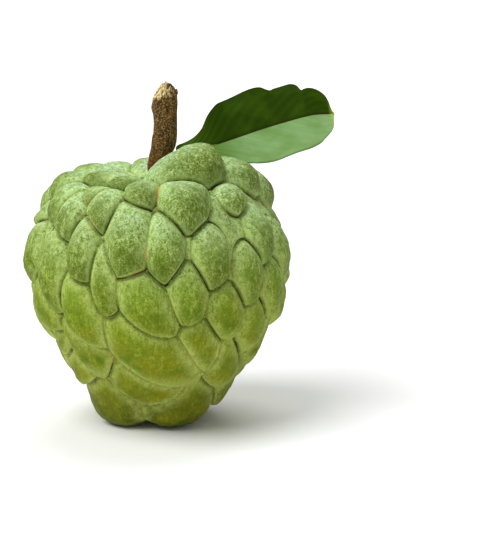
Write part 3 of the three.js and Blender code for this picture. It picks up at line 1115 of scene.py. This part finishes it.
@dataclass
class Leaf:
    """The leaf: a folded, waved blade with a midrib that runs on as its stalk to the twig."""

    path: Path3 = ((5.2, 3.1, 101.5), (11, 10.5, 101.8), (17.5, 16.5, 102.9), (28.5, 22.5, 105.6),
                    (38.5, 26, 108.5), (48, 28.5, 111.1), (60, 31.5, 113.8), (68.5, 33, 114.1))
    blade_start: float = 0.05
    midrib_end: float = 0.97
    midrib_radii: Knots = ((0, 1.2), (0.08, 1.0), (0.5, 0.8), (0.97, 0.5))
    upper_half: Knots = ((0, 0.7), (0.02, 3.2), (0.1, 4.6), (0.15, 5.3), (0.2, 6.1), (0.25, 7.8),
                         (0.3, 11.1), (0.35, 13.7), (0.4, 15.6), (0.5, 16.3), (0.6, 16.4), (0.645, 16),
                         (0.67, 14.8), (0.69, 14.1), (0.715, 14.5), (0.77, 14.5), (0.81, 14.1), (0.835, 12.6),
                         (0.848, 10.4), (0.86, 10.6), (0.885, 10.6), (0.92, 9.4), (0.955, 7.4), (0.975, 5),
                         (0.985, 2.6), (1, 0.7))
    lower_half: Knots = ((0, 0.7), (0.1, 4), (0.2, 7), (0.28, 11.2), (0.34, 15.4), (0.4, 18), (0.47, 19.2),
                         (0.6, 19.8), (0.68, 19.9), (0.75, 19.3), (0.82, 17.8), (0.88, 16), (0.935, 13.3),
                         (0.975, 8.6), (1, 0.7))
    thickness: float = 0.6
    facing: tuple[float, float, float] = (0.0, -0.73, 0.68)
    fold: float = 18.0
    edge_wave: float = 0.7
    waves: float = 3.5
    steps_along: int = 220
    steps_across: int = 80
    vein_pairs: float = 11.0
    quilt: float = 0.07
    rib_width: float = 0.45
    rib_depth: float = 0.35
    vein_slant: float = 0.32
    vein_curve: float = 1.3
    vein_width: float = 0.07
    vein_end: float = 1.15
    quilt_start: float = 3.0
    rod_sides: int = 16
    rod_cuts: int = 70
    look_ahead: float = 0.005
    tip_length: float = 0.03
    sink: float = 0.5
    sink_start: float = 0.22
    sink_over: float = 0.15
    finish: LeafFinish = field(default_factory=LeafFinish)

    def spine(self, along: np.ndarray) -> tuple[np.ndarray, np.ndarray]:
        """Give the midrib's points and directions.

        Args:
            along: From 0 at the twig to 1 at the leaf's tip.

        Returns:
            Points and unit tangents.
        """
        path = np.array(self.path)
        stops = np.concatenate([[0], np.cumsum(np.linalg.norm(np.diff(path, axis=0), axis=1))])
        stops /= stops[-1]
        first, last = path[1] - path[0], path[-1] - path[-2]
        knots = np.vstack([path[0] - first, path, path[-1] + last])
        places = np.concatenate([[-stops[1]], stops, [2 - stops[-2]]])
        read = [through(tuple(zip(places, axis)), along) for axis in knots.T]
        ahead = [through(tuple(zip(places, axis)), along + self.look_ahead) for axis in knots.T]
        points = np.stack(read, -1)
        return points, unit(np.stack(ahead, -1) - points)

    def blade_points(self, t: np.ndarray, s: np.ndarray) -> tuple[np.ndarray, np.ndarray, np.ndarray]:
        """Give the blade's upper face.

        Args:
            t: From 0 at the blade's base to 1 at its tip.
            s: From -1 at the lower edge to 1 at the upper edge.

        Returns:
            The points, and there the strength of the side veins and of the midrib.
        """
        centre, tangent = self.spine(self.blade_start + (1 - self.blade_start) * t)
        across = unit(np.cross(np.array(self.facing), tangent))
        facing = np.cross(tangent, across)
        reach = s * np.where(s > 0, through(self.upper_half, t), through(self.lower_half, t))
        fold = math.radians(self.fold)
        wave = self.edge_wave * s * s * np.sin(self.waves * 2 * math.pi * t + np.sign(s))
        bend = (t - self.vein_slant * np.abs(s) ** self.vein_curve) * self.vein_pairs
        side_vein = np.exp(-((bend - np.round(bend)) / self.vein_width) ** 2)
        side_vein *= np.clip(self.vein_end - np.abs(s), 0, 1)
        beside_rib = np.clip(np.abs(reach) / self.quilt_start, 0, 1)
        quilt = self.quilt * np.cos(bend * 2 * math.pi) * (1 - np.abs(s) ** 4) * beside_rib
        main_vein = np.exp(-((reach / self.rib_width) ** 2))
        lift = np.abs(reach) * math.sin(fold) + wave - quilt - self.rib_depth * main_vein
        points = centre + across * (reach * math.cos(fold))[:, None] + facing * lift[:, None]
        return points, side_vein, main_vein

    def build(self) -> bpy.types.Object:
        """Build the blade and the stalk in one mesh.

        Returns:
            The leaf.
        """
        maker = bmesh.new()
        bmesh.ops.create_grid(maker, x_segments=self.steps_along, y_segments=self.steps_across, size=0.5)
        grid = np.array([vertex.co[:2] for vertex in maker.verts])
        along, side = grid[:, 0] + 0.5, grid[:, 1] * 2
        points, vein, rib = self.blade_points(along, side)
        tip = np.exp(-((1 - along) / self.tip_length) ** 2)
        stalk_layer = maker.verts.layers.float.new("stalk")
        marks = {"along": along, "side": side, "vein": vein, "rib": rib, "tip": tip}
        layers = {name: maker.verts.layers.float.new(name) for name in marks}
        for i, vertex in enumerate(maker.verts):
            vertex.co = Vector(points[i]) * MM
            for name, layer in layers.items():
                vertex[layer] = marks[name][i]
        bmesh.ops.solidify(maker, geom=maker.faces[:], thickness=self.thickness * MM)
        self.add_stalk(maker, stalk_layer)
        bmesh.ops.recalc_face_normals(maker, faces=maker.faces[:])
        piece = new_object("leaf_blade", maker)
        piece.data.materials.append(self.finish.material())
        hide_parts("leaf")
        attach(piece, "root")
        return piece

    def add_stalk(self, maker: bmesh.types.BMesh, stalk_layer: bmesh.types.BMLayerItem) -> None:
        """Add the stalk and the midrib under the blade as a tapered rod.

        Args:
            maker: The leaf's bmesh.
            stalk_layer: Where the stalk's vertices are marked.
        """
        for vertex in maker.verts:
            vertex.tag = True
        bmesh.ops.create_cone(maker, cap_ends=True, segments=self.rod_sides, radius1=1.0, radius2=1.0,
                              depth=1.0)
        upright = [edge for edge in maker.edges if not edge.verts[0].tag
                   and abs(edge.verts[0].co.z - edge.verts[1].co.z) > 0.5]
        bmesh.ops.subdivide_edges(maker, edges=upright, cuts=self.rod_cuts)
        rod = [vertex for vertex in maker.verts if not vertex.tag]
        t = np.array([vertex.co.z + 0.5 for vertex in rod])
        centre, tangent = self.spine(t * self.midrib_end)
        across = unit(np.cross(np.array(self.facing), tangent))
        facing = np.cross(tangent, across)
        radius = through(self.midrib_radii, t * self.midrib_end)
        sunk = np.clip((t - self.sink_start) / self.sink_over, 0, 1) * (radius + self.sink)
        for i, vertex in enumerate(rod):
            place = (centre[i] - facing[i] * sunk[i] + across[i] * vertex.co.x * radius[i]
                     + facing[i] * vertex.co.y * radius[i])
            vertex[stalk_layer] = 1.0
            vertex.co = Vector(place) * MM


@dataclass
class Studio:
    """The camera, the pale floor and the soft light."""

    elevation: float = 12.0
    distance: float = 1000.0
    pixels_per_mm: float = 2.6
    picture: tuple[int, int] = (480, 534)
    axis_column: float = 158.0
    ground_row: float = 418.0
    sensor: float = 36.0
    floor_size: float = 12.0
    sky: float = 0.36
    key: float = 2.7
    back: float = 1.2
    key_from: tuple[float, float, float] = (-0.6, -0.35, 1.0)
    key_spread: float = 45.0
    back_from: tuple[float, float, float] = (0.1, 0.55, 1.0)
    back_spread: float = 40.0
    finish: FloorFinish = field(default_factory=FloorFinish)

    def place_camera(self) -> None:
        """Set the camera at the photograph's height and distance."""
        tilt = math.radians(self.elevation)
        wide, tall = self.picture
        right = (wide / 2 - self.axis_column) / self.pixels_per_mm
        up = (self.ground_row - tall / 2) / self.pixels_per_mm / math.cos(tilt)
        target = Vector((right, 0, up)) * MM
        lens = bpy.data.cameras.new("camera")
        lens.sensor_width = self.sensor
        lens.lens = self.sensor * self.distance / (tall / self.pixels_per_mm)
        camera = bpy.data.objects.new("camera", lens)
        camera.location = target + Vector((0, -math.cos(tilt), math.sin(tilt))) * self.distance * MM
        camera.rotation_euler = (target - camera.location).to_track_quat("-Z", "Y").to_euler()
        bpy.context.scene.collection.objects.link(camera)
        bpy.context.scene.camera = camera

    def lay_floor(self) -> None:
        """Lay the floor."""
        maker = bmesh.new()
        bmesh.ops.create_grid(maker, x_segments=1, y_segments=1, size=self.floor_size / 2)
        floor = new_object("floor", maker)
        floor.data.materials.append(self.finish.material())

    def add_sun(self, name: str, source: tuple[float, float, float], spread: float, strength: float) -> None:
        """Add one soft light that is as strong everywhere.

        Args:
            name: Its name.
            source: The way to it.
            spread: How wide it looks, in degrees.
            strength: How strong it is.
        """
        lamp = bpy.data.lights.new(name, "SUN")
        lamp.angle = math.radians(spread)
        lamp.energy = strength
        light = bpy.data.objects.new(name, lamp)
        light.location = Vector(source)
        light.rotation_euler = (-Vector(source)).to_track_quat("-Z", "Y").to_euler()
        bpy.context.scene.collection.objects.link(light)

    def light(self) -> None:
        """Light the scene as in a white studio, mostly from above."""
        world = bpy.data.worlds.new("studio")
        world.use_nodes = True
        world.node_tree.nodes["Background"].inputs["Color"].default_value = (1, 1, 1, 1)
        world.node_tree.nodes["Background"].inputs["Strength"].default_value = self.sky
        bpy.context.scene.world = world
        self.add_sun("key", self.key_from, self.key_spread, self.key)
        self.add_sun("back", self.back_from, self.back_spread, self.back)
        bpy.context.scene.view_settings.view_transform = "Standard"

    def build(self) -> None:
        """Set up the whole studio."""
        self.place_camera()
        self.lay_floor()
        self.light()


def main() -> None:
    """Build the studio and every piece, and report each."""
    logging.basicConfig(level=logging.INFO, format="%(name)s: %(message)s")
    Studio().build()
    for maker in (Fruit(), Stem(), Leaf()):
        piece = maker.build()
        LOG.info("%s: %d faces", piece.name, len(piece.data.polygons))


if __name__ == "__main__":
    main()
